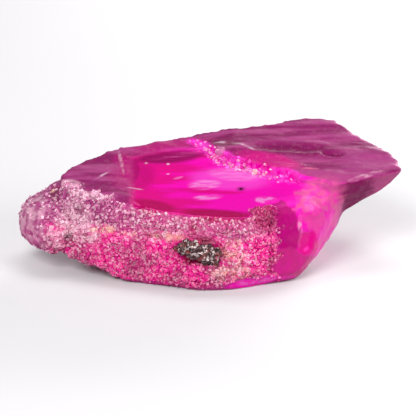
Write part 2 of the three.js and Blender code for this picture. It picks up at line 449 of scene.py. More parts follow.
class Nodes:
    """A node tree, with short ways to add and link nodes."""

    def __init__(self, tree: bpy.types.NodeTree) -> None:
        """Keeps the tree that the nodes go into."""
        self.tree = tree

    def add(self, kind: str, inputs: dict | None = None, **settings: object) -> bpy.types.Node:
        """Adds a node.

        Args:
            kind: The node's type.
            inputs: Sockets by name or number, each with a plain value or the socket that feeds it.
            settings: The node's own settings.

        Returns:
            The node.
        """
        node = self.tree.nodes.new(kind)
        for name, value in settings.items():
            setattr(node, name, value)
        for name, value in (inputs or {}).items():
            self.feed(node.inputs[name], value)
        return node

    def feed(self, socket: bpy.types.NodeSocket, value: object) -> None:
        """Links a socket, or sets its plain value."""
        if isinstance(value, bpy.types.NodeSocket):
            self.tree.links.new(value, socket)
        else:
            socket.default_value = value

    def mask(self, name: str) -> bpy.types.NodeSocket:
        """Reads a value that is kept on the mesh."""
        return self.add("ShaderNodeAttribute", attribute_name=name).outputs["Fac"]

    def tint(self) -> bpy.types.NodeSocket:
        """Reads the colour that is kept on the mesh."""
        return self.add("ShaderNodeAttribute", attribute_name=CrystalPaint.attribute).outputs["Color"]

    def millimetres(self) -> bpy.types.NodeSocket:
        """Gives object coordinates in millimetres."""
        place = self.add("ShaderNodeTexCoord").outputs["Object"]
        scale = self.add("ShaderNodeVectorMath", {0: place}, operation="SCALE")
        scale.inputs["Scale"].default_value = PER_METRE
        return scale.outputs["Vector"]

    def noise(self, place: bpy.types.NodeSocket, size: float, detail: float = 3.0) -> bpy.types.NodeSocket:
        """Adds noise with features of a size in millimetres."""
        inputs = {"Vector": place, "Scale": 1 / size, "Detail": detail}
        return self.add("ShaderNodeTexNoise", inputs).outputs["Fac"]

    def math(self, operation: str, first: object, second: object = 0.0) -> bpy.types.NodeSocket:
        """Combines two values, held between 0 and 1."""
        node = self.add("ShaderNodeMath", {0: first, 1: second}, operation=operation, use_clamp=True)
        return node.outputs[0]

    def band(self, value: bpy.types.NodeSocket, low: float, high: float) -> bpy.types.NodeSocket:
        """Eases a value from 0 at low to 1 at high."""
        inputs = {"Value": value, "From Min": low, "From Max": high}
        return self.add("ShaderNodeMapRange", inputs, interpolation_type="SMOOTHSTEP").outputs["Result"]

    def near(self, place: bpy.types.NodeSocket, center: Point3, radius: float) -> bpy.types.NodeSocket:
        """Masks what is near a point, fading to 0 at the radius."""
        gap = self.add("ShaderNodeVectorMath", {0: place, 1: center}, operation="DISTANCE").outputs["Value"]
        return self.band(gap, radius, 0.4 * radius)

    def mix(self, share: object, first: object, second: object) -> bpy.types.NodeSocket:
        """Mixes two colours."""
        node = self.add("ShaderNodeMix", data_type="RGBA")
        for socket, value in zip((node.inputs[0], node.inputs[6], node.inputs[7]), (share, first, second)):
            self.feed(socket, value)
        return node.outputs[2]

    def blend(self, share: object, first: object, second: object) -> bpy.types.NodeSocket:
        """Mixes two values."""
        node = self.add("ShaderNodeMix", {0: share, 2: first, 3: second}, data_type="FLOAT")
        return node.outputs[0]

    def speckle(self, colour: object, pale: object, size: float, amount: object) -> bpy.types.NodeSocket:
        """Breaks a colour up into small light and dark specks.

        Args:
            colour: The colour.
            pale: The colour of the lightest specks.
            size: The specks' size in millimetres.
            amount: How strong they are, from 0 to 1.

        Returns:
            The speckled colour's socket.
        """
        node = self.add("ShaderNodeGroup", node_tree=Speckle().tree())
        for name, value in (("Color", colour), ("Pale", pale), ("Scale", 1 / size), ("Amount", amount)):
            self.feed(node.inputs[name], value)
        return node.outputs["Color"]


@dataclass(frozen=True)
class Speckle:
    """The shared node group that breaks a colour up into small light and dark specks."""

    name: str = "speckle"
    dark: float = 0.55

    def tree(self) -> bpy.types.NodeTree:
        """Gives the group's tree, built the first time."""
        if self.name in bpy.data.node_groups:
            return bpy.data.node_groups[self.name]
        tree = bpy.data.node_groups.new(self.name, "ShaderNodeTree")
        for name, kind in (("Color", "Color"), ("Pale", "Color"), ("Scale", "Float"), ("Amount", "Float")):
            tree.interface.new_socket(name, in_out="INPUT", socket_type=f"NodeSocket{kind}")
        tree.interface.new_socket("Color", in_out="OUTPUT", socket_type="NodeSocketColor")
        nodes = Nodes(tree)
        given = nodes.add("NodeGroupInput").outputs
        cells = nodes.add("ShaderNodeTexVoronoi", {"Vector": nodes.millimetres(), "Scale": given["Scale"]})
        chance = nodes.add("ShaderNodeSeparateColor", {"Color": cells.outputs["Color"]}).outputs[0]
        shaded = nodes.mix(nodes.band(chance, 0.5, 0.0), given["Color"], (0.0, 0.0, 0.0, 1.0))
        darker = nodes.mix(nodes.math("MULTIPLY", given["Amount"], self.dark), given["Color"], shaded)
        light = nodes.math("MULTIPLY", nodes.band(chance, 0.6, 1.0), given["Amount"])
        nodes.add("NodeGroupOutput", {"Color": nodes.mix(light, darker, given["Pale"])})
        return tree


def new_material(name: str) -> tuple[bpy.types.Material, Nodes, bpy.types.Node, bpy.types.Node]:
    """Starts a material.

    Args:
        name: The material's name.

    Returns:
        The material, its nodes, its surface shader and its output.
    """
    material = bpy.data.materials.new(name)
    material.use_nodes = True
    material.node_tree.nodes.clear()
    nodes = Nodes(material.node_tree)
    surface = nodes.add("ShaderNodeBsdfPrincipled")
    output = nodes.add("ShaderNodeOutputMaterial", {"Surface": surface.outputs["BSDF"]})
    return material, nodes, surface, output


@dataclass(frozen=True)
class SapphireFinish:
    """The see-through crystal: clear in its window and facets, frosted elsewhere.

    Attributes:
        absorbed: The colour that its depth lets through.
        density: How strongly its depth absorbs, to the metre.
        index: Its index of refraction.
        clarity: How much light passes through its surface.
        sheen: How strongly its surface reflects.
        sheen_tint: The colour of that reflection.
        window_rough: Roughness of the window.
        facet_rough: Roughness of the facets.
        haze_rough: Roughness of the facets' upper edges.
        haze_share: How fully those edges have it.
        frost_rough: Roughness elsewhere.
        uneven: How much the roughness varies.
        fleck: Size of the pale flecks, in millimetres.
        crust_flecks: How much they show in the crust.
        frost_flecks: How much they show on the frosted faces.
        grit: Size of the finest bumps, in millimetres.
        grit_height: Their height, in millimetres.
        grit_strength: How much they show.
        frost_grit: How much of that the frosted faces have.
        dot: Where the small dark dot in the window is, in millimetres.
        dot_radius: Its radius, in millimetres.
        dot_colour: Its colour.
        halo_radius: Radius of the dull ring around it, in millimetres.
        halo_share: How much that ring shows.
    """

    absorbed: Colour = (1.0, 0.02, 0.74, 1.0)
    density: float = 320.0
    index: float = 1.77
    clarity: float = 0.5
    sheen: float = 0.25
    sheen_tint: Colour = (1.0, 0.08, 0.55, 1.0)
    window_rough: float = 0.16
    facet_rough: float = 0.25
    haze_rough: float = 0.5
    haze_share: float = 0.7
    frost_rough: float = 0.58
    uneven: float = 0.1
    fleck: float = 0.16
    crust_flecks: float = 0.4
    frost_flecks: float = 0.04
    grit: float = 0.1
    grit_height: float = 0.03
    grit_strength: float = 0.3
    frost_grit: float = 0.5
    dot: Point3 = (1.43, -0.92, 3.85)
    dot_radius: float = 0.13
    dot_colour: Colour = (0.01, 0.0, 0.01, 1.0)
    halo_radius: float = 0.3
    halo_share: float = 0.5

    def material(self) -> bpy.types.Material:
        """Builds the finish's material."""
        material, nodes, surface, output = new_material("sapphire")
        place = nodes.millimetres()
        crust, frost = nodes.mask(Zone.CRUST.value), nodes.mask(Zone.FROST.value)
        fine = nodes.noise(place, self.grit)
        nodes.feed(surface.inputs["Base Color"], self.colour(nodes, place, crust, frost))
        uneven = nodes.math("MULTIPLY", fine, self.uneven)
        nodes.feed(surface.inputs["Roughness"], nodes.math("ADD", self.roughness(nodes), uneven))
        surface.inputs["IOR"].default_value = self.index
        surface.inputs["Specular IOR Level"].default_value = self.sheen
        surface.inputs["Specular Tint"].default_value = self.sheen_tint
        surface.inputs["Transmission Weight"].default_value = self.clarity
        gritty = nodes.math("ADD", crust, nodes.math("MULTIPLY", frost, self.frost_grit))
        height = nodes.math("MULTIPLY", fine, gritty)
        inputs = {"Height": height, "Strength": self.grit_strength, "Distance": self.grit_height * MM}
        bump = nodes.add("ShaderNodeBump", inputs)
        nodes.feed(surface.inputs["Normal"], bump.outputs["Normal"])
        volume = nodes.add("ShaderNodeVolumeAbsorption")
        volume.inputs["Color"].default_value = self.absorbed
        volume.inputs["Density"].default_value = self.density
        nodes.feed(output.inputs["Volume"], volume.outputs["Volume"])
        return material

    def colour(
        self,
        nodes: Nodes,
        place: bpy.types.NodeSocket,
        crust: bpy.types.NodeSocket,
        frost: bpy.types.NodeSocket,
    ) -> bpy.types.NodeSocket:
        """Adds the surface's colour: the paint, pale flecks and the dark dot.

        Args:
            nodes: The material's nodes.
            place: The place in millimetres.
            crust: The crust's mask.
            frost: The frosted faces' mask.

        Returns:
            The colour's socket.
        """
        amount = nodes.blend(crust, nodes.math("MULTIPLY", frost, self.frost_flecks), self.crust_flecks)
        colour = nodes.speckle(nodes.tint(), Hue.SUGAR.value, self.fleck, amount)
        halo = nodes.math("MULTIPLY", nodes.near(place, self.dot, self.halo_radius), self.halo_share)
        colour = nodes.mix(halo, colour, Hue.PLUM.value)
        return nodes.mix(nodes.near(place, self.dot, self.dot_radius), colour, self.dot_colour)

    def roughness(self, nodes: Nodes) -> bpy.types.NodeSocket:
        """Adds the surface's roughness, zone by zone.

        Args:
            nodes: The material's nodes.

        Returns:
            The roughness's socket.
        """
        rough = nodes.blend(nodes.mask(Zone.WINDOW.value), self.frost_rough, self.window_rough)
        rough = nodes.blend(nodes.mask(Zone.FACET.value), rough, self.facet_rough)
        haze = nodes.math("MULTIPLY", nodes.mask(Zone.HAZE.value), self.haze_share)
        return nodes.blend(haze, rough, self.haze_rough)


@dataclass(frozen=True)
class SugarFinish:
    """The small bright grains of the crust, each near the colour of the crust around it.

    Attributes:
        clarity: How much light passes through a grain's surface.
        index: Its index of refraction.
        roughness: Its roughness.
        sheen: How strongly it reflects.
        sheen_tint: The colour of that reflection.
        shade: Name of the random value that each grain keeps.
        dark_fade: Values of it over which a grain darkens.
        dark_share: How dark the darkest grains are.
        pale_fade: Values of it over which a grain turns pale.
        fleck: Size of the flecks on it, in millimetres.
        fleck_share: How much they show.
    """

    clarity: float = 0.12
    index: float = 1.77
    roughness: float = 0.42
    sheen: float = 0.35
    sheen_tint: Colour = (1.0, 0.4, 0.7, 1.0)
    shade: str = "shade"
    dark_fade: Fade = (0.4, 0.0)
    dark_share: float = 0.3
    pale_fade: Fade = (0.3, 1.0)
    fleck: float = 0.07
    fleck_share: float = 0.1

    def material(self) -> bpy.types.Material:
        """Builds the finish's material."""
        material, nodes, surface, _ = new_material("sugar_grains")
        shade = nodes.mask(self.shade)
        dark = nodes.math("MULTIPLY", nodes.band(shade, *self.dark_fade), self.dark_share)
        colour = nodes.mix(dark, nodes.tint(), Hue.DEEP.value)
        pale = nodes.math("MULTIPLY", nodes.band(shade, *self.pale_fade), nodes.mask(Zone.BLOOM.value))
        colour = nodes.mix(pale, colour, Hue.SUGAR.value)
        colour = nodes.speckle(colour, Hue.WHITE.value, self.fleck, self.fleck_share)
        nodes.feed(surface.inputs["Base Color"], colour)
        surface.inputs["Roughness"].default_value = self.roughness
        surface.inputs["Specular IOR Level"].default_value = self.sheen
        surface.inputs["Specular Tint"].default_value = self.sheen_tint
        surface.inputs["IOR"].default_value = self.index
        surface.inputs["Transmission Weight"].default_value = self.clarity
        return material


@dataclass(frozen=True)
class OreFinish:
    """The dark, half-metallic mineral grain.

    Attributes:
        dark: Its ground colour.
        grey: The colour of its flecks.
        rust: The colour of its patches.
        fleck: Size of the flecks, in millimetres.
        fleck_share: How much they show.
        patch: Size of the patches, in millimetres.
        rust_fade: Noise values over which the patches' colour shows.
        dull_fade: Noise values over which the patches are less metallic.
        metal: How metallic the ground and the patches are.
        speck: Size of the finest bumps, in millimetres.
        rough: Roughness between and on those bumps.
        bump_strength: How much they show.
        bump_height: Their height, in millimetres.
    """

    dark: Colour = srgb(66, 40, 44)
    grey: Colour = srgb(208, 190, 188)
    rust: Colour = srgb(118, 36, 34)
    fleck: float = 0.09
    fleck_share: float = 0.8
    patch: float = 0.3
    rust_fade: Fade = (0.52, 0.68)
    dull_fade: Fade = (0.5, 0.7)
    metal: Fade = (0.5, 0.1)
    speck: float = 0.06
    rough: Fade = (0.5, 0.2)
    bump_strength: float = 0.5
    bump_height: float = 0.03

    def material(self) -> bpy.types.Material:
        """Builds the finish's material."""
        material, nodes, surface, _ = new_material("dark_mineral")
        place = nodes.millimetres()
        patches = nodes.noise(place, self.patch)
        specks = nodes.noise(place, self.speck)
        colour = nodes.speckle(self.dark, self.grey, self.fleck, self.fleck_share)
        colour = nodes.mix(nodes.band(patches, *self.rust_fade), colour, self.rust)
        nodes.feed(surface.inputs["Base Color"], colour)
        nodes.feed(surface.inputs["Metallic"], nodes.blend(nodes.band(patches, *self.dull_fade), *self.metal))
        nodes.feed(surface.inputs["Roughness"], nodes.blend(specks, *self.rough))
        inputs = {"Height": specks, "Strength": self.bump_strength, "Distance": self.bump_height * MM}
        bump = nodes.add("ShaderNodeBump", inputs)
        nodes.feed(surface.inputs["Normal"], bump.outputs["Normal"])
        return material


@dataclass(frozen=True)
class CrystalPaint:
    """The crystal's colours, with painted shade, glow, sheen and glints among them: the ground of each zone and the
    tints laid over it.
    """

    attribute = "tint"
    back_strip: Spot = Spot((-1.9, 2.45, 4.7), (2.6, 0.9, 0.6), 12.0)
    tints: tuple[Tint, ...] = (
        # The frosted top at the left, its pale rim and its scratches.
        Tint(Hue.DEEP, Spot((-3.6, -0.2, 4.2), (1.5, 2.3, 0.6)), 0.5),
        Tint(Hue.DEEP, Spot((-4.15, 1.3, 4.45), (0.6, 0.8, 0.5)), 0.6),
        Tint(Hue.SUGAR, Spot((-6.5, -0.8, 4.05), (0.8, 0.5, 0.4), -25.0), 0.8, 0.6),
        Tint(Hue.SUGAR, Spot((-5.6, -1.65, 3.85), (1.5, 0.3, 0.3), -24.0), 0.8, 0.5),
        Tint(Hue.WHITE, Spot((-5.07, -0.15, 4.2), (0.7, 0.07, 0.3), 46.0), 0.6, 0.7),
        Tint(Hue.WHITE, Spot((-3.45, -1.12, 4.0), (0.6, 0.07, 0.3), -3.0), 0.6, 0.7),
        Tint(Hue.DEEP, Spot((-3.75, 0.4, 4.3), (0.6, 2.1, 0.5), 6.0), 0.85, crisp=0.3),
        Tint(Hue.SUGAR, Spot((-4.2, 1.2, 4.4), (0.1, 1.8, 0.5), 8.0), 0.55, 0.7),
        # The window: dark at its back, with painted shade along its front lips, a painted glow in its middle and
        # painted glints in its wisps and small sparkles.
        Tint(Hue.DEEP, Spot((-1.9, 1.65, 4.5), (2.3, 0.75, 0.6), 12.0), 0.9),
        Tint(Hue.WINE, Spot((-2.0, 1.6, 4.5), (2.2, 0.5, 0.6), 12.0), 0.5, 0.2, Breakup.FIBRES),
        # Painted shade along the window's front lips.
        Tint(Hue.CRIMSON, Spot((-2.6, -2.6, 3.7), (1.6, 0.8, 0.6), -20.0), 0.8),
        Tint(Hue.CRIMSON, Spot((0.3, -3.3, 3.55), (2.4, 0.75, 0.5), -10.0), 0.95),
        # A painted glow, standing in for the light that shines through the crystal's middle.
        Tint(Hue.GLOW, Spot((0.9, -0.1, 4.0), (2.6, 1.3, 0.6), -10.0), 0.9),
        # Painted glints: pale wisps where light catches the window's striations.
        Tint(Hue.WISP, Spot((-0.25, -0.5, 3.9), (1.0, 0.55, 0.4), 10.0), 0.8, 0.8, Breakup.FIBRES),
        Tint(Hue.WISP, Spot((-0.1, -1.6, 3.7), (0.9, 0.3, 0.4), 8.0), 0.8, 0.8, Breakup.FIBRES),
        Tint(Hue.WISP, Spot((-1.5, 0.05, 4.03), (0.35, 0.1, 0.3), 24.0), 0.5, 0.3),
        Tint(Hue.WISP, Spot((1.2, 0.35, 4.05), (1.7, 0.8, 0.4), -12.0), 0.5, 0.6, Breakup.FIBRES),
        Tint(Hue.WISP, Spot((2.5, -2.0, 3.75), (0.7, 0.4, 0.4), -10.0), 0.8, 0.9),
        # Painted glints: three tiny white sparkles.
        Tint(Hue.WHITE, Spot((-3.02, 1.11, 4.36), (0.08, 0.08, 0.2)), 0.8),
        Tint(Hue.WHITE, Spot((-1.99, 1.14, 4.3), (0.08, 0.1, 0.2)), 0.8),
        Tint(Hue.WHITE, Spot((-1.98, 0.34, 4.11), (0.06, 0.07, 0.2)), 0.8),
        # The ledge: hot above its step, dull and streaked further back, with painted shade in its hollow and painted
        # glints along the wing's ridge.
        Tint(Hue.PLUM, Spot((3.9, 1.6, 4.95), (3.0, 1.0, 0.6), -6.0), 0.95),
        Tint(Hue.WINE, Spot((4.0, 1.5, 4.95), (2.8, 0.75, 0.6), -6.0), 0.85, 0.3, Breakup.FIBRES),
        Tint(Hue.CERISE, Spot((2.7, 0.6, 4.7), (2.3, 0.85, 0.5), -24.0), 0.9, 0.4, Breakup.FIBRES),
        Tint(Hue.DEEP, Spot((2.7, 0.7, 4.7), (2.4, 0.8, 0.5), -24.0), 0.45, 0.3, Breakup.FIBRES),
        Tint(Hue.OLIVE, Spot((0.8, 2.1, 4.9), (0.95, 0.42, 0.4), -12.0), 0.8, 0.3),
        Tint(Hue.WHITE, Spot((0.45, 2.3, 4.95), (0.4, 0.07, 0.3), -5.0), 0.6, 0.3),
        Tint(Hue.WHITE, Spot((1.6, 1.8, 4.95), (0.95, 0.1, 0.3), -34.0), 0.5, 0.5),
        Tint(Hue.DUSTY, Spot((0.46, 1.54, 4.8), (0.34, 0.32, 0.4)), 0.7),
        # Painted shade in the hollow pressed into the ledge.
        Tint(Hue.WINE, Spot((5.81, 1.06, 4.83), (0.65, 0.24, 0.4), -8.0), 0.9),
        Tint(Hue.SALMON, Spot((4.66, -0.18, 4.61), (0.6, 0.09, 0.3)), 0.8, 0.2),
        Tint(Hue.LILAC, Spot((7.4, 0.4, 4.7), (1.8, 1.6, 0.5)), 0.6),
        # Painted glints along the wing's front ridge.
        Tint(Hue.SUGAR, Spot((7.2, -0.85, 4.5), (1.2, 0.22, 0.3), 28.0), 0.6, 0.9),
        Tint(Hue.PEACH, Spot((2.09, 0.3, 4.2), (0.16, 0.2, 0.16)), 0.9),
        # The facets at the right end, with painted glints in their wisps, and the grainy patch beside them.
        Tint(Hue.CRIMSON, Spot((2.6, -3.2, 3.4), (1.1, 0.9, 0.9)), 0.85, 0.3),
        Tint(Hue.WINE, Spot((2.6, -3.2, 3.4), (0.9, 0.9, 0.8)), 0.25),
        Tint(Hue.DEEP, DARK_FACET, 0.9, 0.1, crisp=0.15),
        Tint(Hue.SALMON, UPPER_FACET, 0.7, 0.7, crisp=0.1),
        Tint(Hue.ROSE, BULGE, 0.9, 0.3, crisp=0.15),
        Tint(Hue.CERISE, FLAT_FACET, 0.95, crisp=0.15),
        Tint(Hue.BERRY, LOWER_FACET, 0.85, 0.2, crisp=0.15),
        Tint(Hue.SALMON, Spot((5.4, -1.1, 4.1), (1.3, 0.85, 0.6)), 0.8, 0.6),
        Tint(Hue.MAUVE, Spot((5.7, -0.9, 4.2), (1.2, 0.9, 0.6)), 0.6, 0.7, Breakup.FIBRES),
        # Painted glints in wisps on the right facet.
        Tint(Hue.WISP, Spot((4.6, -2.0, 3.6), (0.7, 0.6, 0.5), 30.0), 0.4, 0.8, Breakup.FIBRES),
        Tint(Hue.SUGAR, Spot((4.18, -2.67, 2.8), (0.13, 0.4, 0.85)), 0.7, 0.9),
        Tint(Hue.HOT, SLIVER, 0.95, crisp=0.2),
        Tint(Hue.WISP, Spot((2.2, -3.6, 0.3), (1.6, 0.8, 0.2)), 0.4, 0.8, Breakup.FIBRES),
        # The crust: pale at the left, stained along its groove and round the dark grain.
        Tint(Hue.SUGAR, Spot((-6.3, -1.9, 2.7), (1.1, 1.3, 1.3)), 0.85, 0.6),
        Tint(Hue.SUGAR, Spot((-5.5, -2.2, 2.2), (0.9, 1.0, 0.8)), 0.7, 0.8),
        Tint(Hue.SUGAR, Spot((-7.2, -1.9, 1.9), (0.9, 1.0, 0.9)), 0.6, 0.8),
        Tint(Hue.CERISE, Spot((-2.7, -3.7, 2.0), (0.5, 0.7, 0.45)), 0.8, 0.2),
        Tint(Hue.CERISE, Spot((-4.5, -2.9, 1.5), (0.9, 0.9, 0.6)), 0.6, 0.6),
        Tint(Hue.CERISE, Spot((-2.4, -3.6, 1.0), (1.6, 0.9, 0.6)), 0.5, 0.6),
        Tint(Hue.PLUM, Spot((-6.05, -1.85, 3.17), (0.35, 0.6, 0.25)), 0.7, 0.2),
        Tint(Hue.BROWN, Spot((-6.5, -2.0, 1.65), (0.5, 0.7, 0.45)), 0.7, 0.5),
        Tint(Hue.PEACH, Spot((-4.9, -2.5, 2.5), (0.95, 0.7, 0.25)), 0.8, 0.9),
        Tint(Hue.PEACH, Spot((-3.7, -3.0, 2.4), (0.6, 0.6, 0.22)), 0.7, 0.9),
        Tint(Hue.RUST, Spot((-2.5, -3.4, 2.52), (0.9, 0.7, 0.12)), 0.8, 0.5),
        Tint(Hue.PEACH, Spot((-1.9, -3.5, 2.5), (1.0, 0.7, 0.25)), 0.7, 0.8),
        Tint(Hue.RUST, Spot((-0.75, -3.6, 2.95), (0.28, 0.7, 0.45)), 0.7, 0.4),
        Tint(Hue.RUST, Spot((-0.5, -4.0, 1.95), (1.6, 0.9, 0.95)), 0.95, 0.4),
        Tint(Hue.PEACH, Spot((1.1, -3.9, 1.9), (0.75, 0.8, 0.9)), 0.6, 0.8),
        Tint(Hue.PEACH, Spot((1.0, -3.9, 0.9), (1.4, 0.8, 0.6)), 0.5, 0.8),
        # The knob, and the notch beside it with painted shade.
        Tint(Hue.SUGAR, Spot((-8.2, -0.9, 2.3), (1.2, 2.0, 1.6)), 0.6, 0.9),
        Tint(Hue.PLUM, Spot((-7.9, -0.9, 1.7), (1.0, 2.0, 1.3)), 0.55, 0.95, Breakup.FIBRES),
        # Painted shade in the notch under the overhanging top.
        Tint(Hue.BROWN, Spot((-7.25, -0.55, 3.4), (0.4, 0.9, 0.5)), 0.75, 0.2),
        Tint(Hue.PEACH, Spot((-7.4, -0.25, 3.5), (0.25, 0.2, 0.2)), 0.8, 0.3),
    )

    def colours(self, places: Values, zones: dict[Zone, Values]) -> Values:
        """Works out the crystal's colours.

        Args:
            places: Where the colours are, in millimetres.
            zones: The zones' masks there.

        Returns:
            Rows of four colour channels.
        """
        streaks = mottle(places, (3.0, 0.45, 0.6))
        bits = {member: mottle(places, member.value) for member in Breakup}
        rough = bits[Breakup.ROUGH]
        broad = mottle(places, (0.9, 0.9, 0.9))
        hue = {member: np.tile(np.array(member.value), (len(places), 1)) for member in Hue}
        x, _, z = places.T
        pattern = broad + (streaks - broad) * zones[Zone.LEVEL]
        # The frosted faces' ground, plum to mauve; the mauve stands partly for a painted sheen of the soft light
        # from behind and above.
        ground = mixed(hue[Hue.PLUM], hue[Hue.MAUVE], ramp(pattern, 0.25, 0.7))
        ground = mixed(ground, hue[Hue.DUSTY], 0.3 * zones[Zone.REAR] * ramp(rough, 0.4, 0.7))
        worn = mixed(hue[Hue.MAUVE], hue[Hue.DUSTY], ramp(0.5 * broad + 0.5 * rough, 0.35, 0.6))
        ground = mixed(ground, worn, zones[Zone.KNOB])
        strip = self.back_strip.cover(places)
        ground = mixed(ground, hue[Hue.DEEP], 0.95 * strip * (1.0 - zones[Zone.WINDOW]))
        window = mixed(hue[Hue.CERISE], hue[Hue.HOT], ramp(streaks + 0.12 * x, 0.2, 0.6))
        ground = mixed(ground, window, zones[Zone.WINDOW])
        facet = mixed(hue[Hue.HOT], hue[Hue.ROSE], ramp(broad, 0.45, 0.75))
        ground = mixed(ground, facet, zones[Zone.FACET])
        upper = mixed(hue[Hue.MAUVE], hue[Hue.PINK], ramp(x + 2.0 * broad, -5.0, 0.0))
        lower = mixed(hue[Hue.BERRY], hue[Hue.CERISE], ramp(broad, 0.75, 0.45))
        crust = mixed(upper, lower, ramp(z + 0.5 * (broad - 0.5), 2.8, 2.2))
        ground = mixed(ground, crust, zones[Zone.CRUST])
        ground = mixed(ground, mixed(hue[Hue.HOT], hue[Hue.GLOW], ramp(rough, 0.4, 0.65)), zones[Zone.RISER])
        # Painted shade on the wing's underside: deep wine, easing to a lighter pink and lilac towards the tip.
        underside_painted_shade = mixed(hue[Hue.WINE], 0.5 * (hue[Hue.PINK] + hue[Hue.LILAC]), ramp(x + 0.8 * (rough - 0.5), 7.2, 7.9))
        ground = mixed(ground, underside_painted_shade, 0.9 * zones[Zone.SHADE])
        for tint in self.tints:
            ground = tint.apply(ground, places, bits)
        return ground

    def apply(self, mesh: bpy.types.Mesh, zones: dict[Zone, Values]) -> None:
        """Keeps the colours on a mesh."""
        colours = self.colours(coordinates(mesh), zones)
        attribute = mesh.attributes.new(self.attribute, "FLOAT_COLOR", "POINT")
        attribute.data.foreach_set("color", colours.astype(np.float32).ravel())


